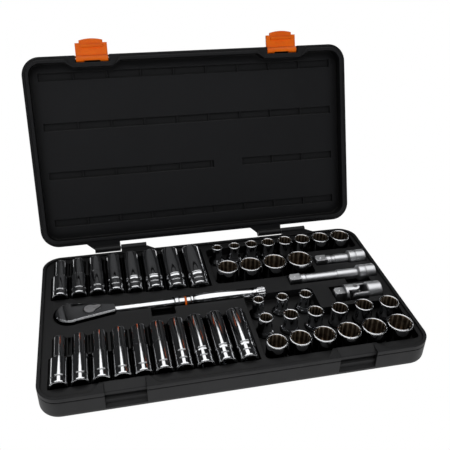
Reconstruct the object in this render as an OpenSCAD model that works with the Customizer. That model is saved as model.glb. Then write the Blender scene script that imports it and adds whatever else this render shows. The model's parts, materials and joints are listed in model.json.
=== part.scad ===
// Socket wrench set in a hinged carrying case, shown with the lid open.
// The origin is the middle of the base's underside. The latches are at -Y, the hinges at +Y.

/* [Case] */
// Height of the base half
base_h = 32; // [32:0.5:40]
// Height of the lid half
lid_h = 20; // [19:0.5:34]
// Plan radius of the case corners
corner_r = 24.5; // [20:0.5:32]
// Radius along the outer edges, top and bottom
edge_r = 8; // [3:0.5:10]
// Width of the base's raised rim
rim_w = 4; // [3:0.1:5]
// Width of the lid's flat band, from its outer edge to its inner wall
lid_band = 8.5; // [7:0.1:9]
// Depth of the lid's hollow below its rim
lid_hollow = 13; // [13:0.1:14]
// Height of the lip that runs round each half at the rim
lip_h = 5.4; // [3:0.1:8]
// Width of the fine groove under that lip
lip_groove = 1; // [0.6:0.1:2]
// Gap between the halves when they are shut
seam_gap = 0.3; // [0.2:0.05:0.6]
// Angle of the open lid from shut
open_angle = 111.6; // [95:0.1:115]

/* [Lid grooves] */
// Depth of the grooves in the lid's inner panel
panel_groove_depth = 3; // [1:0.1:4]
// Width of those grooves
panel_groove_w = 10.5; // [6:0.5:14]
// Distance from the side walls to the grooves
panel_groove_inset = 11; // [6:0.5:30]
// Middle of the first groove, from the lid's front edge
panel_groove_first = 26; // [22:0.5:34]
// Middle of the last groove, from the lid's hinge edge
panel_groove_last = 31.5; // [24:0.5:40]
// Width of the ribs across the grooves
panel_rib_w = 2; // [1:0.1:3]
// Number of stretches that the ribs part a groove into
panel_cells = 9; // [5:1:12]
// Length left plain where the third groove is broken
groove_break = 43; // [20:1:80]

/* [Layout] */
// Room between the lid's side walls and the tools beside them
side_margin = 4.2; // [3:0.1:8]
// Room between the lid's front wall and the front row
front_margin = 10.2; // [8:0.1:14]
// Room between the lid's hinge-side wall and the deep inch sockets
back_margin = 3; // [2:0.1:6]
// Room between the two rows of deep sockets, which the ratchet lies in
aisle = 61.2; // [56:0.1:70]
// Distance from the longest front socket to the ratchet's axis
ratchet_from_front = 37.1; // [30:0.1:42]
// Gap between neighbours in the row of deep metric sockets
deep_metric_gap = 1; // [0.5:0.1:3]
// Gap between neighbours in the row of deep inch sockets
deep_inch_gap = 1.8; // [0.5:0.1:3]
// Gap between the deep metric sockets and the standing ones
metric_group_gap = 9.8; // [8:0.1:16]
// Gap between the deep inch sockets and the standing ones
inch_group_gap = 10.8; // [8:0.1:16]
// Gap between the rows of standing metric sockets
metric_row_gap = 11.5; // [6:0.1:14]
// Gap between the rows of standing inch sockets
inch_row_gap = 13.3; // [6:0.1:16]
// Room between the lid's hinge-side wall and the standing inch sockets
inch_back_margin = 8.5; // [6:0.1:12]
// Gaps between neighbours in the standing rows: small, middle and large metric, small and large inch
small_metric_gap = 9.2; // [2:0.1:12]
middle_metric_gap = 9.9; // [2:0.1:12]
large_metric_gap = 2.6; // [2:0.1:6]
small_inch_gap = 3.1; // [2:0.1:6]
large_inch_gap = 1.8; // [1.6:0.1:6]
// Indent of the row of large inch sockets
large_inch_indent = 1.2; // [0:0.1:3]
// Room between the lid's side wall and the extensions
bar_margin = 0.8; // [0.6:0.1:3]
// Room between the lid's side wall and the universal joint
joint_margin = 9.9; // [6:0.1:12]
// Distance from the large inch sockets' row to the short extension's axis
short_from_row = 4; // [0:0.1:8]
// Distance between the axes of the extensions
bars_apart = 35.3; // [30:0.1:38]
// Distance between the axes of the long extension and the universal joint
joint_apart = 39.7; // [34:0.1:42]

/* [Tray] */
// Drop from the rim to the tray's top face
tray_drop = 3; // [2.5:0.1:4]
// Thickness left under the deepest pockets
floor_t = 2.6; // [2:0.1:4]
// Plan radius of the sunken wells' corners
well_r = 6; // [3:0.5:10]
// Height of the sunken wells' floor above the underside
well_floor = 16; // [12:0.5:22]
// Drop from the tray's top face to the axes of tools that lie down
axis_drop = 1; // [0.5:0.1:2]
// Clearance between a tool and the wall of its pocket
pocket_gap = 0.7; // [0.5:0.05:1]
// Clearance between a tool and the floor it rests on
seat_gap = 0.3; // [0.2:0.05:0.5]
// Depth of the finger notches below the tray's top face
notch_depth = 14; // [8:0.5:20]

/* [Latches] */
// Distance of each latch from the middle of the case
latch_x = 134; // [100:1:160]
// Width of a latch
latch_w = 43; // [30:0.5:50]
// Length of a latch from its pin to its tip
latch_l = 26.5; // [25:0.5:28]
// Thickness of a latch's plate
latch_t = 3.5; // [2.5:0.1:4]
// Radius of the barrel round the latch pin
latch_barrel_r = 4.5; // [4:0.1:4.8]
// Radius of the latch pin
latch_pin_r = 1.5; // [1:0.1:2]
// Thickness of the hook
hook_t = 3.4; // [2.4:0.1:4]
// Reach of the hook behind the plate
latch_hook = 3.6; // [2:0.1:4]
// Gap between a latch and the sides of its recess
latch_side_gap = 1.2; // [0.5:0.1:2]

/* [Hinges] */
// Distance of each hinge from the middle of the case
hinge_x = 120; // [90:1:150]
// Distance of the hinge axis behind the case
hinge_offset = 9.5; // [8:0.1:11]
// Radius of the hinge barrels
barrel_r = 4.5; // [3.8:0.1:5]
// Length of one barrel
barrel_l = 36; // [24:1:40]
// Slant at the outer end of each hinge tab
tab_slant = 12; // [4:0.5:16]
// Radius of the hinge pins
hinge_pin_r = 2; // [1.5:0.1:2.5]
// Running clearance round a pin
pin_gap = 0.05; // [0.02:0.01:0.1]

/* [Sockets] */
// Length of a standard socket
standard_l = 38; // [34:0.5:38.5]
// Length of a slim deep socket
deep_l = 78; // [74:0.5:79]
// Height of the highest point of the deep sockets above the tray's top face
deep_top = 10.4; // [9:0.1:12]
// Across-flats size of the square drive
drive_af = 12.7; // [12.7:0.05:12.8]
// Least diameter of a socket's drive end
drive_end_d = 22; // [21:0.1:22.5]
// Length of the wide part of a standard socket
standard_wide_l = 20; // [16:0.5:24]
// Length of the wide part of a slim deep socket
deep_wide_l = 44; // [36:0.5:50]
// Length of the drive part of a stout deep socket
deep_drive_l = 20; // [14:0.5:26]
// Length of the collar at the drive end
collar_l = 9; // [6:0.5:12]
// Depth of the groove that sets off the collar
collar_groove = 0.6; // [0.3:0.1:0.8]

/* [Ratchet] */
// Overall length of the ratchet
ratchet_l = 268.5; // [255:0.5:270]
// Radius of the round end of the head
head_r = 18; // [16:0.5:19]
// Thickness of the head
head_t = 17; // [15:0.5:18]
// Radius of the plain shank
shank_r = 5.8; // [5:0.1:6.5]
// Largest radius of the grip
grip_r = 8.6; // [7.5:0.1:9]
// Radius of the fluted end of the grip
tail_r = 7; // [6:0.1:8]
// Length of the ratchet's square drive
anvil_l = 11.5; // [10:0.5:12.5]
// Angle at which the reversing lever rests
lever_angle = 20; // [10:1:24]

/* [Extensions and joint] */
// Length of the short extension
short_l = 72.5; // [66:0.5:76]
// Length of the long extension
long_l = 122; // [100:0.5:124]
// Radius of the extensions' socket ends
female_r = 11; // [10.5:0.1:11.5]
// Radius of the extensions' shanks
extension_r = 7.2; // [6.5:0.1:8]
// Radius of the universal joint's socket end
joint_r = 12; // [11:0.1:12.5]
// Length of the universal joint
joint_l = 63.4; // [62:0.1:66]
// Radius of the universal joint's cross pins
cross_pin_r = 3; // [2:0.1:3.4]

/* [Hidden] */
$fn = 64;
inch = 25.4;
over = 1;                                  // how far a cut runs past a face
rim_z = base_h;
tray_z = base_h - tray_drop;
axis_z = tray_z - axis_drop;               // axes of the deep sockets and extensions
seat_z = floor_t + seat_gap;               // underside of everything that stands
lid_z = rim_z + seam_gap;                  // the lid's rim plane when shut
latch_pin_z = lid_z + 6;                   // axes of the latches when shut
hook_start = 15.2;                         // from a latch's axis to its hook

chrome = "#b9bcc0";
black_plastic = "#26272a";
orange_plastic = "#d95c16";
steel = "#8d9094";

// ---- Sockets: sizes, names and places ----

function nearest_half(v) = round(2 * v) / 2;

// Outside diameter of the nut end for a size across flats
function nut_d(af) = 1.2 * af + 2.8;
function drive_d(af) = max(drive_end_d, 0.92 * nut_d(af));
function wide_d(af) = max(nut_d(af), drive_d(af));
function is_stout(af) = nut_d(af) > drive_end_d - 1;
function deep_length(af) = deep_l + max(0, af - 14.3);
function deep_axis(af) = min(axis_z, tray_z + deep_top - wide_d(af) / 2);

// Place of item k in a row whose items have diameters d and stand gap apart
function along(d, k, start, gap) =
    k == 0 ? start + d[0] / 2 : along(d, k - 1, start, gap) + (d[k - 1] + d[k]) / 2 + gap;

// Length of a row of sockets from side to side
function row_l(sizes, gap) =
    let (last = len(sizes) - 1)
    along([for (af = sizes) wide_d(af)], last, 0, gap) + wide_d(sizes[last]) / 2;

// A row as [name, across flats, x, y] from its left side x; lean is -1, 0 or 1 where the row
// lines up on its far side, its middle or its near side
function row(names, sizes, x, y, gap, lean) =
    let (d = [for (af = sizes) wide_d(af)])
    [for (k = [0:len(sizes) - 1]) [names[k], sizes[k], along(d, k, x, gap), y + lean * d[k] / 2]];

// Sixteenths of an inch as a name, such as 6 to "3_8"
function inch_name(n) =
    let (whole = floor(n / 16), rest = n % 16)
    let (by = rest % 8 == 0 ? 8 : rest % 4 == 0 ? 4 : rest % 2 == 0 ? 2 : 1)
    str(whole > 0 ? whole : "", whole > 0 && rest > 0 ? "_" : "",
        rest > 0 ? str(rest / by, "_", 16 / by) : "");
function inch_names(prefix, list) = [for (n = list) str(prefix, inch_name(n))];
function inches(list) = [for (n = list) n * inch / 16];
function metric_names(prefix, list) = [for (n = list) str(prefix, n)];

small_metric = [10, 11, 12];
middle_metric = [13, 14, 15, 16, 17, 18];
large_metric = [19, 20, 21, 22, 23, 24];
small_inch = [6, 7, 8, 9, 10, 11, 12, 13];
large_inch = [14, 15, 16, 17];
deep_metric = [10, 11, 12, 13, 14, 15, 16, 17, 18, 19];
deep_inch = [7, 8, 9, 10, 11, 12, 13, 14];

// The inside of the lid, which the tools fill
deep_metric_l = row_l(deep_metric, deep_metric_gap);
deep_inch_l = row_l(inches(deep_inch), deep_inch_gap);
metric_l = deep_metric_l + metric_group_gap + row_l(large_metric, large_metric_gap);
inch_l = deep_inch_l + inch_group_gap + row_l(inches(small_inch), small_inch_gap);
inner_x = nearest_half(side_margin + max(metric_l, inch_l) / 2);
front_l = deep_length(deep_metric[len(deep_metric) - 1]);
back_l = deep_length(deep_inch[len(deep_inch) - 1] * inch / 16);
inner_y = nearest_half((front_margin + front_l + aisle + back_l + back_margin) / 2);
case_w = 2 * (inner_x + lid_band);
case_d = 2 * (inner_y + lid_band);
hinge_y = case_d / 2 + hinge_offset;

row_start = side_margin - inner_x;         // left side of each row of deep sockets
metric_x = row_start + deep_metric_l + metric_group_gap;
inch_x = row_start + deep_inch_l + inch_group_gap;
front_line = front_margin - inner_y;       // drive ends of the front row
middle_y = front_line + wide_d(large_metric[len(large_metric) - 1]) + metric_row_gap
    + wide_d(middle_metric[len(middle_metric) - 1]) / 2;
small_y = middle_y + wide_d(middle_metric[len(middle_metric) - 1]) / 2 + metric_row_gap
    + wide_d(small_metric[0]) / 2;
back_line = inner_y - back_margin;         // nut ends of the back row
inch_line = inner_y - inch_back_margin;    // far side of the standing inch sockets
large_inch_y = inch_line - wide_d(small_inch[len(small_inch) - 1] * inch / 16) - inch_row_gap
    - wide_d(large_inch[len(large_inch) - 1] * inch / 16) / 2;

STANDARD = concat(
    row(metric_names("metric_socket_", small_metric), small_metric,
        metric_x, small_y, small_metric_gap, 0),
    row(metric_names("metric_socket_", middle_metric), middle_metric,
        metric_x, middle_y, middle_metric_gap, 0),
    row(metric_names("metric_socket_", large_metric), large_metric,
        metric_x, front_line, large_metric_gap, 1),
    row(inch_names("inch_socket_", small_inch), inches(small_inch),
        inch_x, inch_line, small_inch_gap, -1),
    row(inch_names("inch_socket_", large_inch), inches(large_inch),
        inch_x + large_inch_indent, large_inch_y, large_inch_gap, 0));
DEEP_METRIC = row(metric_names("deep_metric_socket_", deep_metric), deep_metric,
    row_start, front_line, deep_metric_gap, 0);
DEEP_INCH = [for (s = row(inch_names("deep_inch_socket_", deep_inch), inches(deep_inch),
    row_start, back_line, deep_inch_gap, 0)) [s[0], s[1], s[2], s[3] - deep_length(s[1])]];
DEEP = concat(DEEP_METRIC, DEEP_INCH);

// ---- Places of the other tools ----

ratchet_y = front_line + front_l + ratchet_from_front;
head_rise = 6;                             // top of the head above the handle's axis
ratchet_z = max(axis_z - 1, seat_z + anvil_l + head_t - head_rise);
head_top = ratchet_z + head_rise;
head_x = row_start + 5.7 + head_r;         // axis of the head
head_edge = 1.2;                           // width of the steps along the head's top edge
tail_x = head_x - head_r + ratchet_l;
neck_x = head_x + 55;                      // where the head has narrowed to the shank
collar_x = head_x + 130;                   // where the shank meets the grip
ring_x = collar_x + 14.4;
grip_x = collar_x + 24;
flute_x = tail_x - 19;
lever_x = head_x + 24;
lever_pin_r = 3;
lever_r = 7;
lever_t = 3;
anvil_r = 9.5;
anvil_depth = 11;                          // of the anvil's hub inside the head
ring_w = 2.4;
ring_depth = 1.2;

tool_end = inner_x - bar_margin;           // right ends of the extensions
short_y = large_inch_y + short_from_row;
long_y = short_y - bars_apart;
joint_y = long_y - joint_apart;
joint_end = inner_x - joint_margin;
female_l = 26;                             // length of an extension's pocket round its socket end
male_l = 15;                               // length of a square drive
male_af = drive_af - 0.05;
square_hole = drive_af + 0.05;
bar_pocket_r = male_af * 0.72;             // of a pocket that clears the square's corners
square_depth = 16;

joint_barrel_l = 20;                       // of the universal joint's socket end
yoke_reach = 15.5;                         // from the joint's middle to that barrel
drive_reach = 10.4;                        // from its middle to the other yoke's root
cross_x = joint_end - joint_barrel_l - yoke_reach;
yoke_gap = 7.2;                            // from its axis to the inner face of a yoke's ear
ear_r = 6;                                 // half height and round end of an ear
ear_t = 4.2;
root_t = 3.6;                              // thickness of the drive end's yoke at its root
cross_half = 6;

// ---- General shapes ----

module rounded_rect(w, d, r) {
    square([w - 2 * r, d], center = true);
    square([w, d - 2 * r], center = true);
    for (x = [-1, 1], y = [-1, 1])
        translate([x * (w / 2 - r), y * (d / 2 - r)]) circle(r);
}

// The case's outline moved in by inset, which steps in by jog round each latch
module case_outline(inset, jog) {
    half = latch_w / 2 + 5.5;
    difference() {
        rounded_rect(case_w - 2 * inset, case_d - 2 * inset, corner_r - inset);
        for (side = [-1, 1])
            translate([side * latch_x, -case_d / 2])
                polygon([[-half - 10, 0], [half + 10, 0], [half + 10, inset],
                    [half, jog], [-half, jog], [-half - 10, inset]]);
    }
}

// Slice through the wall of a case half, from the middle out to reach
module wall_slice(reach, h) {
    difference() {
        union() {
            square([reach - edge_r, h]);
            translate([0, edge_r]) square([reach, h - edge_r]);
            translate([reach - edge_r, edge_r]) circle(edge_r);
        }
        translate([reach - lip_groove, h - lip_h - lip_groove]) square([lip_groove + over, lip_groove]);
    }
}

module full_slice(reach, h) {
    wall_slice(reach, h);
    mirror([1, 0]) wall_slice(reach, h);
}

// A solid case half with its closed face at z = 0
module case_half(h) {
    x = case_w / 2 - corner_r;
    y = case_d / 2 - corner_r;
    rotate([90, 0, 90]) translate([0, 0, -x]) linear_extrude(2 * x) full_slice(case_d / 2, h);
    rotate([90, 0, 0]) translate([0, 0, -y]) linear_extrude(2 * y) full_slice(case_w / 2, h);
    for (i = [-1, 1], j = [-1, 1])
        translate([i * x, j * y, 0]) rotate_extrude() wall_slice(corner_r, h);
}

module along_x(x, y, z) {
    translate([x, y, z]) rotate([0, 90, 0]) children();
}

module along_y(x, y, z) {
    translate([x, y, z]) rotate([-90, 0, 0]) children();
}

// The lid and what rides on it, swung from shut to open
module opened() {
    translate([0, hinge_y, rim_z]) rotate([-open_angle, 0, 0])
        translate([0, -hinge_y, -rim_z]) children();
}

// ---- Case ----

// One hinge tab: a barrel on the hinge axis and the web that joins it to a case half
module hinge_tab(side, low, high) {
    root = case_d / 2 - over;
    along_x(side > 0 ? 0.5 : -0.5 - barrel_l, hinge_y, rim_z) cylinder(r = barrel_r, h = barrel_l);
    translate([0, 0, low]) linear_extrude(high - low)
        polygon([[side * 0.5, root], [side * (0.5 + barrel_l + tab_slant), root],
            [side * (0.5 + barrel_l), hinge_y], [side * 0.5, hinge_y]]);
}

module hinge_bore(side) {
    along_x(side > 0 ? -over : -over - barrel_l, hinge_y, rim_z)
        cylinder(r = hinge_pin_r + pin_gap, h = barrel_l + 2 * over);
}

// Pocket for a socket that lies along Y, with its drive end at y
module deep_pocket(af, x, y) {
    r = drive_d(af) / 2 + pocket_gap;
    stem = wide_d(af) > drive_d(af) ? wide_d(af) / 2 + pocket_gap : nut_d(af) / 2 + pocket_gap;
    front = y - pocket_gap;
    shoulder = y + deep_wide_l + 2;
    end = y + deep_length(af) + pocket_gap;
    wide = max(r, stem);
    z = deep_axis(af);
    along_y(x, front, z) cylinder(r = wide, h = shoulder - front);
    along_y(x, front, z) cylinder(r = stem, h = end - front);
    translate([x - wide, front, z]) cube([2 * wide, shoulder - front, base_h]);
    translate([x - stem, front, z]) cube([2 * stem, end - front, base_h]);
}

// Slots for the fingertips between the stems of neighbours in a row
module stem_slots(sockets) {
    for (k = [0:len(sockets) - 2]) {
        a = sockets[k];
        b = sockets[k + 1];
        left = a[2] + nut_d(a[1]) / 2 + pocket_gap + 1.5;
        right = b[2] - nut_d(b[1]) / 2 - pocket_gap - 1.5;
        y = a[3] + deep_wide_l + 5;
        if (right - left > 2)
            translate([left, y, tray_z - notch_depth / 2])
                cube([right - left, min(a[3], b[3]) + deep_l - y, base_h]);
    }
}

// A sunken field with its corners at (x0, y0) and (x1, y1)
module well(x0, y0, x1, y1) {
    translate([(x0 + x1) / 2, (y0 + y1) / 2]) rounded_rect(x1 - x0, y1 - y0, well_r);
}

module standing_wells() {
    near = front_line - 2.2;
    right = inner_x - 0.4;
    inch_far = inch_line + 2.5;
    translate([0, 0, well_floor]) linear_extrude(base_h) {
        well(metric_x - 3, near, right, middle_y + 17);
        well(metric_x - 3, near, metric_x + 90, small_y + 24.5);
        well(inch_x - 3.5, inch_line - 30, right, inch_far);
        well(inch_x - 3.5, large_inch_y - 20.5, inch_x + 137, inch_far);
    }
}

// The head's outline grown by grow: a round end that tapers to the shank
module head_outline(grow) {
    end = neck_x - head_x;
    half = shank_r + 0.9 + grow;
    circle(head_r + grow);
    polygon([[0, head_r + grow], [0, -head_r - grow], [end, -half], [end, half]]);
}

module ratchet_pocket() {
    head_floor = head_top - head_t - seat_gap;
    translate([head_x, ratchet_y, head_floor]) linear_extrude(base_h) head_outline(3);
    translate([head_x, ratchet_y, floor_t]) cylinder(r = anvil_r + 1, h = base_h);
    start = neck_x - 12;
    r = grip_r + pocket_gap;
    shank = shank_r + pocket_gap;
    along_x(start, ratchet_y, ratchet_z) cylinder(r = shank, h = collar_x - start);
    translate([start, ratchet_y - shank, ratchet_z]) cube([collar_x - start, 2 * shank, base_h]);
    along_x(collar_x - 2, ratchet_y, ratchet_z) cylinder(r = r, h = tail_x + 2 + pocket_gap - collar_x);
    translate([collar_x - 2, ratchet_y - r, ratchet_z])
        cube([tail_x + 2 + pocket_gap - collar_x, 2 * r, base_h]);
    // finger notch in front of the handle
    translate([collar_x - 31, ratchet_y - 23, tray_z - notch_depth]) cube([30, 23, base_h]);
}

module lying_pocket(x0, x1, y, r) {
    along_x(x0 - pocket_gap, y, axis_z) cylinder(r = r + pocket_gap, h = x1 - x0 + 2 * pocket_gap);
    translate([x0 - pocket_gap, y - r - pocket_gap, axis_z])
        cube([x1 - x0 + 2 * pocket_gap, 2 * (r + pocket_gap), base_h]);
}

module extension_pockets() {
    lying_pocket(tool_end - short_l, tool_end, short_y, bar_pocket_r);
    lying_pocket(tool_end - female_l, tool_end, short_y, female_r);
    lying_pocket(tool_end - long_l, tool_end, long_y, bar_pocket_r);
    lying_pocket(tool_end - female_l, tool_end, long_y, female_r);
    translate([tool_end - 46, long_y - 20.7, tray_z - notch_depth]) cube([34, 20.7, base_h]);
}

// The universal joint's pocket: a seat for the barrel, room for the yokes to turn in, a shelf
// for the square drive
module joint_pocket() {
    side = joint_r + 4;
    left = joint_end - joint_l;
    root = cross_x - norm([drive_reach + root_t, joint_r]) - 0.8;
    lying_pocket(cross_x + yoke_reach, joint_end, joint_y, joint_r);
    translate([root, joint_y - side, axis_z - joint_r - 2])
        cube([cross_x + yoke_reach - root, 2 * side, base_h]);
    translate([left - 2, joint_y - side, axis_z - male_af / 2 - seat_gap])
        cube([root + 3 - left, 2 * side, base_h]);
}

// Recess in the base's front wall that a shut latch lies in: a ramp down from the rim, a nose
// that the hook snaps under, and the undercut below it
module latch_seat() {
    w = latch_w + 2 * latch_side_gap;
    face = -case_d / 2;
    plate = face + latch_t + 0.4;
    hook = plate + latch_hook;
    nose_low = latch_pin_z - hook_start + 0.6;
    hook_low = latch_pin_z - hook_start - hook_t - 0.8;
    tip = latch_pin_z - latch_l - 1;
    translate([-w / 2, 0, 0]) rotate([90, 0, 90]) linear_extrude(w)
        polygon([[face - over, base_h + over], [face + 15, base_h + over], [face + 15, base_h],
            [plate, base_h - 4], [plate, nose_low], [hook, nose_low], [hook, hook_low],
            [plate, hook_low - 2], [plate, tip], [face - over, tip - 3]]);
}

module case_base() color(black_plastic) difference() {
    union() {
        case_half(base_h);
        for (side = [-1, 1]) translate([side * hinge_x, 0, 0]) hinge_tab(1, rim_z - 5, rim_z);
    }
    translate([0, 0, tray_z]) linear_extrude(base_h) case_outline(rim_w, rim_w + 12);
    standing_wells();
    for (s = STANDARD)
        translate([s[2], s[3], floor_t]) cylinder(d = wide_d(s[1]) + 2 * pocket_gap, h = base_h);
    for (s = DEEP) deep_pocket(s[1], s[2], s[3]);
    stem_slots(DEEP_METRIC);
    stem_slots(DEEP_INCH);
    ratchet_pocket();
    extension_pockets();
    joint_pocket();
    for (side = [-1, 1]) {
        translate([side * latch_x, 0, 0]) latch_seat();
        translate([side * hinge_x, 0, 0]) hinge_bore(1);
    }
}

// The lid panel's grooves, parted by ribs that stop short of the panel's face
module panel_grooves() {
    w = case_w - 2 * (lid_band + panel_groove_inset);
    first = panel_groove_first - case_d / 2;
    pitch = (case_d - panel_groove_first - panel_groove_last) / 3;
    h = lid_hollow + panel_groove_depth;
    cell = w / panel_cells;
    for (k = [0:3])
        translate([-w / 2, first + k * pitch - panel_groove_w / 2, 0]) difference() {
            cube([w, panel_groove_w, h]);
            for (n = [1:panel_cells - 1])
                translate([n * cell - panel_rib_w / 2, -over, lid_hollow + 0.8])
                    cube([panel_rib_w, panel_groove_w + 2 * over, h]);
            if (k == 2)
                translate([w / 2 + 26, -over, -over])
                    cube([groove_break, panel_groove_w + 2 * over, h + 2 * over]);
        }
}

// The lid as it lies when shut
module shut_lid() {
    notch_w = latch_w + 2 * latch_side_gap;
    tongue = tray_drop - 0.5;
    difference() {
        union() {
            translate([0, 0, lid_z + lid_h]) mirror([0, 0, 1]) case_half(lid_h);
            translate([0, 0, lid_z - tongue]) linear_extrude(tongue + over)
                case_outline(rim_w + seam_gap, rim_w + seam_gap + 12);
            for (side = [-1, 1])
                translate([side * hinge_x, 0, 0]) hinge_tab(-1, lid_z, lid_z + 6);
        }
        translate([0, 0, lid_z - base_h]) linear_extrude(base_h + lid_hollow)
            case_outline(lid_band, lid_band + 7);
        translate([0, 0, lid_z]) panel_grooves();
        for (side = [-1, 1]) {
            translate([side * latch_x - notch_w / 2, -case_d / 2 - over, lid_z - over])
                cube([notch_w, over + 2 * latch_barrel_r + 0.6, over + 6 + latch_barrel_r + 0.8]);
            along_x(side * latch_x - notch_w / 2 - 4, -case_d / 2 + latch_barrel_r, latch_pin_z)
                cylinder(r = latch_pin_r + pin_gap, h = notch_w + 8);
            translate([side * hinge_x, 0, 0]) hinge_bore(-1);
        }
    }
}

module case_lid() color(black_plastic) opened() shut_lid();

module hinge_pins() color(steel)
    for (side = [-1, 1])
        along_x(side * hinge_x - barrel_l, hinge_y, rim_z)
            cylinder(r = hinge_pin_r, h = 2 * barrel_l);

// A latch with its pin on the X axis, reaching out to -Y and with its outer face up
module latch() {
    crown_w = latch_w * 0.74;
    crown_h = 2.2;
    crown_r = crown_w * crown_w / (8 * crown_h) + crown_h / 2;
    shoulder = latch_l - 5.6;
    difference() {
        union() {
            along_x(-latch_w / 2, 0, 0) cylinder(r = latch_barrel_r, h = latch_w);
            translate([0, 0, latch_barrel_r - latch_t]) linear_extrude(latch_t) {
                translate([-latch_w / 2, -shoulder]) square([latch_w, shoulder]);
                intersection() {
                    translate([-crown_w / 2, -latch_l]) square([crown_w, latch_l]);
                    translate([0, -latch_l + crown_r]) circle(crown_r, $fn = 160);
                }
            }
            // raised band that a thumb pulls
            translate([0, 0, latch_barrel_r - over]) linear_extrude(over + 1.2)
                translate([-latch_w / 2 + 2.5, 1 - shoulder]) square([latch_w - 5, 4]);
            // hook
            translate([-latch_w / 2 + 6, -hook_start - hook_t, latch_barrel_r - latch_t - latch_hook])
                cube([latch_w - 12, hook_t, latch_hook + 0.5]);
        }
        along_x(-latch_w, 0, 0) cylinder(r = latch_pin_r + pin_gap, h = 2 * latch_w);
        // relief between the two ears of the barrel
        translate([-latch_w / 4, latch_barrel_r - 2, -latch_barrel_r - over])
            cube([latch_w / 2, 3, 2 * latch_barrel_r + 2 * over]);
    }
}

module placed_latch(side) color(orange_plastic) opened()
    translate([side * latch_x, -case_d / 2 + latch_barrel_r, latch_pin_z]) latch();

module latch_left() placed_latch(-1);
module latch_right() placed_latch(1);

module latch_pins() color(steel) opened()
    for (side = [-1, 1])
        along_x(side * latch_x - latch_w / 2 - latch_side_gap - 3.7,
            -case_d / 2 + latch_barrel_r, latch_pin_z)
            cylinder(r = latch_pin_r, h = latch_w + 2 * latch_side_gap + 7.4);

// ---- Sockets ----

// A socket standing on its drive end at the origin. groove_z is the height of its second groove
module socket(af, length, wide_l, broach, groove_z) {
    nut = nut_d(af) / 2;
    drive = drive_d(af) / 2;
    edge = 1.6;
    nose_r = 1.1;
    step = abs(drive - nut) + 0.6;
    flare = af / 2 / cos(30);
    difference() {
        rotate_extrude() {
            polygon([[0, 0], [drive - edge, 0], [drive - edge, edge], [drive, edge],
                [drive, collar_l], [drive - collar_groove, collar_l + 0.5],
                [drive - collar_groove, collar_l + 1.5], [drive, collar_l + 2],
                [drive, wide_l - step], [nut, wide_l],
                [nut, length - nose_r], [nut - nose_r, length - nose_r],
                [nut - nose_r, length], [0, length]]);
            translate([nut - nose_r, length - nose_r]) circle(nose_r);
            translate([drive - edge, edge]) circle(edge);
        }
        if (groove_z > 0)
            translate([0, 0, groove_z - 2]) rotate_extrude()
                polygon([[nut + over, 0], [nut, 0], [nut - collar_groove, 0.6],
                    [nut - collar_groove, 1.6], [nut, 2.2], [nut + over, 2.2]]);
        translate([0, 0, length - broach]) linear_extrude(broach + over)
            for (turn = [0, 30]) rotate(turn) circle(flare, $fn = 6);
        translate([0, 0, length - 0.9]) cylinder(r1 = flare - 0.6, r2 = flare + 0.5, h = 1);
        translate([0, 0, square_depth - over])
            cylinder(r = min(0.45 * af, 8.5), h = length - square_depth);
        translate([0, 0, square_depth / 2 - over])
            cube([square_hole, square_hole, square_depth + 2 * over], center = true);
        translate([0, 0, -over]) cylinder(r1 = 9 + over, r2 = 8, h = over + 1);
    }
}

module standard_socket(s) color(chrome)
    translate([s[2], s[3], seat_z])
        socket(s[1], standard_l, standard_wide_l, min(0.55 * s[1] + 8, 21), 0);

module deep_socket(s) color(chrome)
    along_y(s[2], s[3], deep_axis(s[1]))
        if (is_stout(s[1]))
            socket(s[1], deep_length(s[1]), deep_drive_l, min(0.8 * s[1] + 8, 26), deep_drive_l + 3);
        else
            socket(s[1], deep_length(s[1]), deep_wide_l, min(0.8 * s[1] + 8, 26), 0);

// ---- Ratchet ----

// Radius of the grip at a share t of its length: a swelling that thins towards the fluted end
function grip_at(t) = 5.6 + (grip_r - 5.6) * pow(sin(180 * pow(t, 0.62)), 1.1);

module handle() {
    steps = 18;
    grip_l = flute_x - grip_x;
    x0 = neck_x - 12;
    along_x(x0, ratchet_y, ratchet_z) rotate_extrude() polygon(concat(
        [[0, 0], [shank_r, 0], [shank_r, collar_x - x0], [shank_r + 1.6, collar_x - x0 + 0.8],
         [shank_r + 1.6, collar_x - x0 + 5], [shank_r + 0.8, collar_x - x0 + 6],
         [shank_r + 0.8, ring_x - x0 - ring_w / 2],
         [shank_r + 0.8 - ring_depth, ring_x - x0 - ring_w / 2],
         [shank_r + 0.8 - ring_depth, ring_x - x0 + ring_w / 2],
         [shank_r + 0.8, ring_x - x0 + ring_w / 2],
         [shank_r + 0.8, grip_x - x0 - 3], [shank_r + 1.8, grip_x - x0 - 2.4],
         [shank_r + 1.8, grip_x - x0]],
        [for (k = [0:steps]) [grip_at(k / steps), grip_x - x0 + grip_l * k / steps]],
        [[5.2, flute_x - x0 + 2.5], [tail_r - 0.6, flute_x - x0 + 6], [tail_r, flute_x - x0 + 7],
         [tail_r, tail_x - x0 - 1], [tail_r - 1, tail_x - x0], [0, tail_x - x0]]));
}

// The head, which a cone about the handle's axis rounds off towards the shank
module head() translate([head_x, ratchet_y, head_top - head_t]) {
    cone_l = neck_x + 5 - head_x;
    cone_slope = 0.4;
    intersection() {
        union() {
            linear_extrude(head_t - head_edge) head_outline(0);
            linear_extrude(head_t - head_edge / 2) head_outline(-head_edge / 2);
            linear_extrude(head_t) head_outline(-head_edge);
        }
        along_x(-head_r - over, 0, ratchet_z - head_top + head_t)
            cylinder(r1 = shank_r + cone_slope * (cone_l + head_r + over), r2 = shank_r,
                h = cone_l + head_r + over);
    }
}

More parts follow.
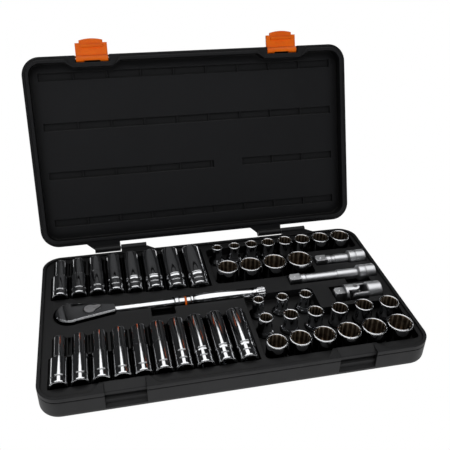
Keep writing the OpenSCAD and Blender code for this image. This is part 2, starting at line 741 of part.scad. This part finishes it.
module ratchet_body() color(chrome) difference() {
    union() {
        head();
        handle();
    }
    translate([head_x, ratchet_y, head_top - head_t - over])
        cylinder(r = anvil_r + pin_gap, h = anvil_depth + over);
    translate([lever_x, ratchet_y, head_top - 1.5]) cylinder(r = lever_r + 0.4, h = 5);
    translate([lever_x, ratchet_y, head_top - 9]) cylinder(r = lever_pin_r + pin_gap, h = 10);
    for (turn = [0:30:330])
        translate([flute_x + 9, ratchet_y, ratchet_z]) rotate([turn, 0, 0])
            translate([0, tail_r + 0.5, 0]) rotate([0, 90, 0]) cylinder(r = 1.1, h = 20);
}

module grip_ring() color(orange_plastic)
    along_x(ring_x - ring_w / 2 + 0.1, ratchet_y, ratchet_z) difference() {
        cylinder(r = shank_r + 1.1, h = ring_w - 0.2);
        translate([0, 0, -over]) cylinder(r = shank_r + 0.85 - ring_depth, h = ring_w + 2 * over);
    }

module reversing_lever() color(steel)
    translate([lever_x, ratchet_y, 0]) rotate([0, 0, lever_angle]) {
        translate([0, 0, head_top - 8.8]) cylinder(r = lever_pin_r, h = 8);
        translate([0, 0, head_top - 1.2]) cylinder(r = lever_r, h = lever_t);
        translate([0, 0, head_top + 0.3]) linear_extrude(lever_t - 1.5) {
            polygon([[0, lever_r - 1], [0, 1 - lever_r], [12, -2.2], [12, 2.2]]);
            translate([12, 0]) circle(2.2);
        }
    }

module drive_anvil() color(steel) {
    bottom = head_top - head_t - anvil_l;
    translate([head_x, ratchet_y, bottom + anvil_l]) cylinder(r = anvil_r, h = anvil_depth - 0.3);
    translate([head_x, ratchet_y, bottom]) {
        translate([-male_af / 2, -male_af / 2, 0]) cube([male_af, male_af, anvil_l + 1]);
        translate([male_af / 2 - 1.4, 0, anvil_l / 2]) sphere(2.2);
    }
}

// ---- Extensions and universal joint ----

// Square drive along +X from x, with its detent ball
module male_square(x, y, length) {
    taper = 3.6;
    along_x(x, y, axis_z) intersection() {
        translate([-male_af / 2, -male_af / 2, 0]) cube([male_af, male_af, length + over]);
        union() {
            cylinder(r1 = male_af / 2, r2 = male_af / 2 + taper, h = taper);
            translate([0, 0, taper - 0.01]) cylinder(r = male_af, h = length);
        }
    }
    translate([x + length / 2, y, axis_z + male_af / 2 - 1.5]) sphere(2.3);
}

// A bar from a square drive on the left to a socket end on the right
module extension(length, y, step) {
    left = tool_end - length;
    difference() {
        union() {
            male_square(left, y, male_l);
            along_x(left + male_l, y, axis_z) rotate_extrude() polygon([
                [0, 0], [extension_r - 1, 0], [extension_r, 1], [extension_r, 7],
                [extension_r - 0.7, 8], [extension_r - 0.7, step], [extension_r + 0.3, step + 1.5],
                [extension_r + 0.3, length - male_l - 26], [female_r, length - male_l - 23],
                [female_r, length - male_l - 15], [female_r - 0.5, length - male_l - 14.5],
                [female_r - 0.5, length - male_l - 13.5], [female_r, length - male_l - 13],
                [female_r, length - male_l - 1], [female_r - 1, length - male_l],
                [0, length - male_l]]);
        }
        translate([tool_end - square_depth, y - square_hole / 2, axis_z - square_hole / 2])
            cube([square_depth + over, square_hole, square_hole]);
        along_x(tool_end - 1, y, axis_z) cylinder(r1 = 8, r2 = 10, h = 2);
    }
}

module extension_short() color(chrome) extension(short_l, short_y, 12);
module extension_long() color(chrome) extension(long_l, long_y, 52);

// Two ears that reach from a yoke's root to the joint's middle, along X, on the +-Z sides
module ears(r, reach) {
    intersection() {
        along_x(-ear_r, 0, 0) cylinder(r = r, h = reach + ear_r + 1);
        for (side = [0, 180]) rotate([side, 0, 0]) translate([0, 0, yoke_gap]) {
            cylinder(r = ear_r, h = ear_t);
            translate([0, -ear_r, 0]) cube([reach + 1, 2 * ear_r, ear_t]);
        }
    }
}

module joint_socket_end() color(chrome) translate([0, joint_y, axis_z]) difference() {
    union() {
        along_x(cross_x + yoke_reach, 0, 0) rotate_extrude() polygon([
            [0, 0], [joint_r - 1.5, 0], [joint_r, 1.5], [joint_r, joint_barrel_l - 1],
            [joint_r - 1, joint_barrel_l], [0, joint_barrel_l]]);
        translate([cross_x, 0, 0]) rotate([90, 0, 0]) ears(joint_r - 0.4, yoke_reach);
    }
    translate([joint_end - square_depth, -square_hole / 2, -square_hole / 2])
        cube([square_depth + over, square_hole, square_hole]);
    along_x(joint_end - 1, 0, 0) cylinder(r1 = 8, r2 = 10, h = 2);
    along_y(cross_x, -joint_r - over, 0) cylinder(r = cross_pin_r + pin_gap, h = 2 * (joint_r + over));
}

module joint_cross() color(steel) translate([cross_x, joint_y, axis_z]) {
    reach = yoke_gap + ear_t - 0.4;
    cube(2 * cross_half, center = true);
    cylinder(r = cross_pin_r, h = 2 * reach, center = true);
    rotate([90, 0, 0]) cylinder(r = cross_pin_r, h = 2 * reach, center = true);
}

module joint_drive_end() color(chrome) {
    left = joint_end - joint_l;
    root = cross_x - drive_reach - root_t;
    male_square(left, joint_y, root - left);
    translate([0, joint_y, axis_z]) difference() {
        union() {
            along_x(root, 0, 0) cylinder(r = joint_r - 0.4, h = root_t);
            translate([cross_x, 0, 0]) rotate([0, 0, 180]) ears(joint_r - 0.4, drive_reach);
        }
        translate([cross_x, 0, -joint_r - over])
            cylinder(r = cross_pin_r + pin_gap, h = 2 * (joint_r + over));
    }
}

// ---- The set ----

case_base();
case_lid();
hinge_pins();
latch_left();
latch_right();
latch_pins();
ratchet_body();
grip_ring();
reversing_lever();
drive_anvil();
extension_short();
extension_long();
joint_socket_end();
joint_cross();
joint_drive_end();
for (s = STANDARD) standard_socket(s);
for (s = DEEP) deep_socket(s);
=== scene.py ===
"""Looks of the socket wrench set: finishes for the CAD nodes, a skin in each standing socket's mouth,
and the photo's floor, light and camera. Lengths are in metres."""
import json
import math

import bpy
from mathutils import Matrix, Vector


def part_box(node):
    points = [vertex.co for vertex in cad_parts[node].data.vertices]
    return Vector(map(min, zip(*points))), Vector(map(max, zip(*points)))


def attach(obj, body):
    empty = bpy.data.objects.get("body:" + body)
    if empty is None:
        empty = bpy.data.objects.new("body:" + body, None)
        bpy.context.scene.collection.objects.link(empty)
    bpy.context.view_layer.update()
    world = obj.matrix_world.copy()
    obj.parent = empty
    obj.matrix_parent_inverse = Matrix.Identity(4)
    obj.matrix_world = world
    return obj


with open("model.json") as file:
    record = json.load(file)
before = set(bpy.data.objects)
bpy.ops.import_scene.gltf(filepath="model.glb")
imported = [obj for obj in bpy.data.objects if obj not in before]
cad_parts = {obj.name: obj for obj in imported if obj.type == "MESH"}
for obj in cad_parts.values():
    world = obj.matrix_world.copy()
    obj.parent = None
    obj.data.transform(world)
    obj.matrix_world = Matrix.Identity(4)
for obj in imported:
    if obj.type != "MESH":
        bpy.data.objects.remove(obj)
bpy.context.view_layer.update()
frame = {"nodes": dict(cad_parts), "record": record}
scene = bpy.context.scene


# ---------------------------------------------------------------- materials

class Mat:
    """A Principled material with short helpers for its nodes. Textures use the object's coordinates."""

    # Samples and contrast of the painted crevice shade
    PAINTED_SHADE_SAMPLES = 8
    PAINTED_SHADE_CONTRAST = 2.5
    EDGE_SAMPLES = 4

    def __init__(self, name, metallic=0.0):
        self.mat = bpy.data.materials.new(name)
        self.mat.use_nodes = True
        self.nodes = self.mat.node_tree.nodes
        self.links = self.mat.node_tree.links
        self.bsdf = self.nodes["Principled BSDF"]
        self.coord = self.nodes.new("ShaderNodeTexCoord")
        self.constant("Metallic", metallic)

    def constant(self, socket, value):
        self.bsdf.inputs[socket].default_value = value

    def noise(self, scale, detail, rough=0.5, stretch=None, turn=(0, 0, 0)):
        """Noise from about 0 to 1; stretch and turn map its coordinates first."""
        vector = self.coord.outputs["Object"]
        if stretch:
            mapping = self.nodes.new("ShaderNodeMapping")
            mapping.inputs["Scale"].default_value = stretch
            mapping.inputs["Rotation"].default_value = turn
            self.links.new(vector, mapping.inputs["Vector"])
            vector = mapping.outputs["Vector"]
        node = self.nodes.new("ShaderNodeTexNoise")
        node.inputs["Scale"].default_value = scale
        node.inputs["Detail"].default_value = detail
        node.inputs["Roughness"].default_value = rough
        self.links.new(vector, node.inputs["Vector"])
        return node.outputs["Fac"]

    def math(self, kind, a, b):
        """One arithmetic node; a and b are numbers or other nodes' outputs."""
        node = self.nodes.new("ShaderNodeMath")
        node.operation = kind
        for value, socket in ((a, node.inputs[0]), (b, node.inputs[1])):
            if isinstance(value, (int, float)):
                socket.default_value = value
            else:
                self.links.new(value, socket)
        return node.outputs["Value"]

    def plus(self, a, b):
        return self.math("ADD", a, b)

    def times(self, a, b):
        return self.math("MULTIPLY", a, b)

    def painted_crevice_shade(self, reach, darkest):
        """Painted shade: a base-colour factor from darkest in a crevice to 1 on a free face, by openness to
        light.
        """
        node = self.nodes.new("ShaderNodeAmbientOcclusion")
        node.samples = self.PAINTED_SHADE_SAMPLES
        node.inputs["Distance"].default_value = reach
        share = self.math("POWER", node.outputs["AO"], self.PAINTED_SHADE_CONTRAST)
        return self.plus(self.times(share, 1 - darkest), darkest)

    def color(self, value, stops):
        """Base colour from a ramp, whose stops pair a place from 0 to 1 with a colour."""
        node = self.nodes.new("ShaderNodeValToRGB")
        elements = node.color_ramp.elements
        while len(elements) < len(stops):
            elements.new(0.5)
        for element, (place, color) in zip(elements, stops):
            element.position = place
            element.color = (*color, 1)
        self.links.new(value, node.inputs["Fac"])
        self.links.new(node.outputs["Color"], self.bsdf.inputs["Base Color"])

    def roughness(self, value):
        self.links.new(value, self.bsdf.inputs["Roughness"])

    def bump(self, height, distance, strength, edge=0.0):
        """Fine relief; edge is the radius over which the light sees sharp corners rounded."""
        node = self.nodes.new("ShaderNodeBump")
        node.inputs["Strength"].default_value = strength
        node.inputs["Distance"].default_value = distance
        self.links.new(height, node.inputs["Height"])
        if edge:
            bevel = self.nodes.new("ShaderNodeBevel")
            bevel.samples = self.EDGE_SAMPLES
            bevel.inputs["Radius"].default_value = edge
            self.links.new(bevel.outputs["Normal"], node.inputs["Normal"])
        self.links.new(node.outputs["Normal"], self.bsdf.inputs["Normal"])


def plastic_black():
    """Moulded case plastic: fine spark-eroded grain, slow changes of tone, faint rubbing, and painted shade
    in crevices.
    """
    m = Mat("case_black_plastic")
    cloud = m.noise(9, 3)
    grain = m.noise(1500, 2, 0.6)
    rub = m.noise(60, 6, 0.7, stretch=(1, 0.25, 1), turn=(0, 0, 0.5))
    tone = m.plus(m.times(cloud, 0.4), 0.8)
    # Painted shade: the base colour darkens in grooves, wells and pockets
    m.color(m.times(tone, m.painted_crevice_shade(reach=0.013, darkest=0.0)),
            [(0.0, (0.0003, 0.0003, 0.0004)), (1.0, (0.0056, 0.0058, 0.0068))])
    m.roughness(m.plus(m.plus(m.times(rub, 0.16), m.times(cloud, 0.12)), 0.38))
    m.constant("Specular IOR Level", 0.34)
    m.bump(grain, distance=0.00006, strength=0.8, edge=0.0016)
    return m.mat


def plastic_orange():
    """Glossier latch plastic with soft sink marks and a fine grain."""
    m = Mat("latch_orange_plastic")
    cloud = m.noise(45, 3)
    grain = m.noise(2200, 2, 0.6)
    handling = m.noise(120, 5, 0.7)
    m.color(cloud, [(0.32, (0.88, 0.135, 0.002)), (0.68, (0.97, 0.180, 0.004))])
    m.roughness(m.plus(m.times(handling, 0.2), 0.26))
    m.constant("Specular IOR Level", 0.25)
    m.constant("Subsurface Weight", 0.08)
    m.constant("Subsurface Radius", (0.0012, 0.0005, 0.0002))
    m.bump(m.plus(grain, m.times(cloud, 3.0)), distance=0.00004, strength=0.7, edge=0.0008)
    return m.mat


def chrome(name, dullness, darkest):
    """Plating over turned steel: faint turning marks, smudges, hairline scratches, and painted shade in the
    pockets.
    """
    m = Mat(name, metallic=1.0)
    smudge = m.noise(34, 5, 0.65)
    hair = m.noise(420, 4, 0.7, stretch=(1, 0.05, 1), turn=(0.2, 0, 0.4))
    turning = m.noise(900, 3, 0.55)
    tone = m.plus(m.times(smudge, 0.30), 0.85)
    # Painted shade: the base colour darkens towards darkest in pockets and crevices
    m.color(m.times(tone, m.painted_crevice_shade(reach=0.010, darkest=darkest)),
            [(0.0, (0.0, 0.0, 0.0)), (1.0, (0.78, 0.79, 0.81))])
    m.roughness(m.plus(m.plus(m.times(smudge, 0.06), m.times(hair, 0.06)), dullness - 0.05))
    m.bump(m.plus(m.times(turning, 0.4), hair), distance=0.000003, strength=0.5, edge=0.0011)
    return m.mat


def steel():
    """Ground steel: brushed grain, duller than the plating."""
    m = Mat("brushed_steel", metallic=1.0)
    brush = m.noise(700, 4, 0.7, stretch=(0.06, 1, 1))
    cloud = m.noise(60, 3)
    m.color(cloud, [(0.3, (0.36, 0.36, 0.37)), (0.7, (0.50, 0.50, 0.51))])
    m.roughness(m.plus(m.times(brush, 0.22), 0.20))
    m.bump(brush, distance=0.00002, strength=0.7, edge=0.0003)
    return m.mat


def broached_steel():
    """Unplated steel inside a socket: brown oxide, long broach lines, bright where "tooth" is high."""
    m = Mat("broached_bore", metallic=0.85)
    lines = m.noise(1100, 3, 0.6, stretch=(1, 1, 0.03))
    cloud = m.noise(160, 4, 0.6)
    tooth = m.nodes.new("ShaderNodeAttribute")
    tooth.attribute_name = "tooth"
    worn = m.math("POWER", tooth.outputs["Fac"], 2.2)
    oxide = m.math("SUBTRACT", m.times(m.plus(lines, cloud), 0.5), 0.07)
    m.color(m.plus(m.times(worn, 0.28), oxide),
            [(0.36, (0.030, 0.021, 0.014)), (0.52, (0.17, 0.125, 0.085)), (0.70, (0.60, 0.50, 0.38))])
    m.roughness(m.plus(m.times(lines, 0.35), 0.20))
    m.bump(lines, distance=0.00005, strength=0.8)
    return m.mat


finish = {
    "black_plastic": plastic_black(),
    "orange_plastic": plastic_orange(),
    "chrome": chrome("chrome_plate", dullness=0.04, darkest=0.0),
    "steel": steel(),
}
# The satin plate's painted crevice shade stops at 0.2 of its colour
satin = chrome("satin_plate", dullness=0.38, darkest=0.2)
satin_nodes = {"extension_short", "extension_long", "joint_socket_end", "joint_drive_end"}
for part in frame["record"]["subparts"]:
    mesh = frame["nodes"][part["node"]].data
    mesh.materials.clear()
    mesh.materials.append(satin if part["node"] in satin_nodes else finish[part["material_slot"]])


# ---------------------------------------------------------------- bores of the standing sockets

def socket_size(name):
    """Across-flats size from the node's name: metric_socket_24, inch_socket_3_8, _1 or _1_1_16."""
    inch = 0.0254
    numbers = [float(word) for word in name.split("socket_")[1].split("_")]
    if name.startswith("metric"):
        return numbers[0] / 1000
    whole = 0 if len(numbers) == 2 else numbers.pop(0)
    fraction = numbers[0] / numbers[1] if numbers else 0
    return (whole + fraction) * inch


def bore_skin(name, mat):
    """Skin over a standing socket's bore: the broach's floor, its twelve-point wall, the ledge above it
    and the lower part of the lead-in cone. Its "tooth" attribute says how worn the steel is."""
    low, high = (Vector(v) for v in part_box(name))
    middle = (low + high) / 2
    af = socket_size(name)
    gap = 0.00005
    corners = 24
    step = math.radians(360 / corners)

    # The bore's sizes, as the solid has them
    flare = af / 2 / math.cos(2 * step)
    broach_depth = min(0.55 * af + 0.008, 0.021)
    round_bore = min(0.45 * af, 0.0085)
    cone_depth = 0.0009
    cone_inset = 0.0006

    # The skin lies a gap off the steel, on the hollow's side, up to where the cone is as wide as the points
    point = flare - gap
    dip = point * math.cos(2 * step) / math.cos(step)
    hole = round_bore + gap
    cone_foot = flare - cone_inset - gap
    floor_z = high.z - broach_depth + 2 * gap
    ledge_z = high.z - cone_depth + gap
    top_z = high.z - 0.00035

    # Radius at a point and at a dip, height, and how worn the steel is at a point and at a dip
    rings = [(hole, hole, floor_z, 0.3, 0.3),
             (point, dip, floor_z, 0, 1),
             (point, dip, ledge_z, 0, 1),
             (cone_foot, cone_foot, ledge_z, 0, 0.6),
             (point, point, top_z, 0, 0.3)]
    verts = []
    worn = []
    for at_point, at_dip, z, worn_point, worn_dip in rings:
        for k in range(corners):
            radius = at_dip if k % 2 else at_point
            verts.append((middle.x + radius * math.cos(k * step), middle.y + radius * math.sin(k * step), z))
            worn.append(worn_dip if k % 2 else worn_point)
    faces = []
    for start in range(0, corners * (len(rings) - 1), corners):
        for k in range(corners):
            after = (k + 1) % corners
            faces.append((start + k, start + after, start + corners + after, start + corners + k))
    mesh = bpy.data.meshes.new(name + "_bore_skin")
    mesh.from_pydata(verts, [], faces)
    mesh.attributes.new("tooth", "FLOAT", "POINT").data.foreach_set("value", worn)
    mesh.materials.append(mat)
    skin = bpy.data.objects.new(mesh.name, mesh)
    scene.collection.objects.link(skin)
    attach(skin, name)


bore_mat = broached_steel()
for node in sorted(frame["nodes"]):
    if node.startswith(("metric_socket", "inch_socket")):
        bore_skin(node, bore_mat)


# ---------------------------------------------------------------- floor, light and camera

def stage_material():
    """Pale floor, white to the camera and in reflections."""
    mat = bpy.data.materials.new("stage_white")
    mat.use_nodes = True
    nodes = mat.node_tree.nodes
    links = mat.node_tree.links
    nodes.clear()
    out = nodes.new("ShaderNodeOutputMaterial")
    mix = nodes.new("ShaderNodeMixShader")
    path = nodes.new("ShaderNodeLightPath")
    either = nodes.new("ShaderNodeMath")
    either.operation = "MAXIMUM"
    matt = nodes.new("ShaderNodeBsdfDiffuse")
    matt.inputs["Color"].default_value = (0.80, 0.80, 0.80, 1)
    glow = nodes.new("ShaderNodeEmission")
    glow.inputs["Color"].default_value = (1, 1, 1, 1)
    glow.inputs["Strength"].default_value = 1.0
    links.new(path.outputs["Is Camera Ray"], either.inputs[0])
    links.new(path.outputs["Is Glossy Ray"], either.inputs[1])
    links.new(either.outputs["Value"], mix.inputs["Fac"])
    links.new(matt.outputs["BSDF"], mix.inputs[1])
    links.new(glow.outputs["Emission"], mix.inputs[2])
    links.new(mix.outputs["Shader"], out.inputs["Surface"])
    return mat


def stage_floor(half, drop):
    """A square floor, a hair below the case's underside."""
    mesh = bpy.data.meshes.new("stage_floor")
    mesh.from_pydata([(-half, -half, 0), (half, -half, 0), (half, half, 0), (-half, half, 0)],
                     [], [(0, 1, 2, 3)])
    mesh.materials.append(stage_material())
    floor = bpy.data.objects.new("stage_floor", mesh)
    floor.location.z = -drop
    scene.collection.objects.link(floor)


def studio_world(fill_strength, gloss_strength):
    """White to the camera, a cool fill on matt surfaces, and nearly black in the plating."""
    world = bpy.data.worlds.new("studio")
    world.use_nodes = True
    nodes = world.node_tree.nodes
    links = world.node_tree.links
    nodes.clear()

    def background(color, strength):
        node = nodes.new("ShaderNodeBackground")
        node.inputs["Color"].default_value = (*color, 1)
        node.inputs["Strength"].default_value = strength
        return node.outputs["Background"]

    out = nodes.new("ShaderNodeOutputWorld")
    path = nodes.new("ShaderNodeLightPath")
    by_gloss = nodes.new("ShaderNodeMixShader")
    by_camera = nodes.new("ShaderNodeMixShader")
    links.new(path.outputs["Is Glossy Ray"], by_gloss.inputs["Fac"])
    links.new(background((0.93, 0.96, 1.0), fill_strength), by_gloss.inputs[1])
    links.new(background((0.95, 0.97, 1.0), gloss_strength), by_gloss.inputs[2])
    links.new(path.outputs["Is Camera Ray"], by_camera.inputs["Fac"])
    links.new(by_gloss.outputs["Shader"], by_camera.inputs[1])
    links.new(background((1, 1, 1), 1.0), by_camera.inputs[2])
    links.new(by_camera.outputs["Shader"], out.inputs["Surface"])
    scene.world = world


def softbox(name, place, target, size, watts, shows, shape="RECTANGLE"):
    """An area light at place, turned to target, that shows on "glossy" or on "diffuse" surfaces only."""
    data = bpy.data.lights.new(name, "AREA")
    data.shape = shape
    data.size, data.size_y = size
    data.energy = watts
    light = bpy.data.objects.new(name, data)
    light.location = place
    light.rotation_euler = (Vector(target) - Vector(place)).to_track_quat("-Z", "Y").to_euler()
    light.visible_camera = False
    light.visible_glossy = shows == "glossy"
    light.visible_diffuse = shows == "diffuse"
    scene.collection.objects.link(light)


def photo_camera(place, lens, elevation, azimuth, roll):
    """The photo's camera: it looks down by elevation and to the right by azimuth, in radians."""
    data = bpy.data.cameras.new("photo_view")
    data.sensor_width = 36
    data.lens = lens
    data.clip_start = 0.01
    forward = Vector((math.sin(azimuth) * math.cos(elevation),
                      math.cos(azimuth) * math.cos(elevation),
                      -math.sin(elevation)))
    right = Vector((math.cos(azimuth), -math.sin(azimuth), 0))
    up = right.cross(forward)
    x_axis = math.cos(roll) * right + math.sin(roll) * up
    y_axis = -math.sin(roll) * right + math.cos(roll) * up
    view = Matrix((x_axis, y_axis, -forward)).transposed().to_4x4()
    view.translation = place
    camera = bpy.data.objects.new("photo_view", data)
    camera.matrix_world = view
    scene.collection.objects.link(camera)
    scene.camera = camera


stage_floor(half=3, drop=0.0005)
studio_world(fill_strength=0.18, gloss_strength=0.02)

# The plating mirrors an oval ceiling, whose far end gives the pointed streaks, and three narrow strips
softbox("ceiling_softbox", (-0.05, 0.09, 1.6), (-0.05, 0.09, 0),
        size=(2.8, 3.0), watts=28, shows="glossy", shape="ELLIPSE")
softbox("ceiling_strip", (-0.26, 2.05, 1.6), (-0.26, 2.05, 0), size=(0.06, 1.3), watts=0.22, shows="glossy")
softbox("left_strip", (-1.5, 0.5, 0.45), (0, 0, 0), size=(0.10, 0.6), watts=0.5, shows="glossy")
softbox("right_strip", (1.5, 0.5, 0.45), (0, 0, 0), size=(0.10, 0.6), watts=0.5, shows="glossy")

# The matt plastic is lit from the front
softbox("key_light", (-0.4, -1.3, 1.4), (0, 0.05, 0.1), size=(1.6, 1.2), watts=4, shows="diffuse")
softbox("front_light", (-0.3, -2.0, 0.75), (0, 0, 0.05), size=(2.4, 1.2), watts=22, shows="diffuse")

photo_camera((-0.13514, -0.59226, 0.52895), lens=48.39, elevation=0.56526, azimuth=0.22568, roll=0.02229)
scene.view_settings.view_transform = "Standard"
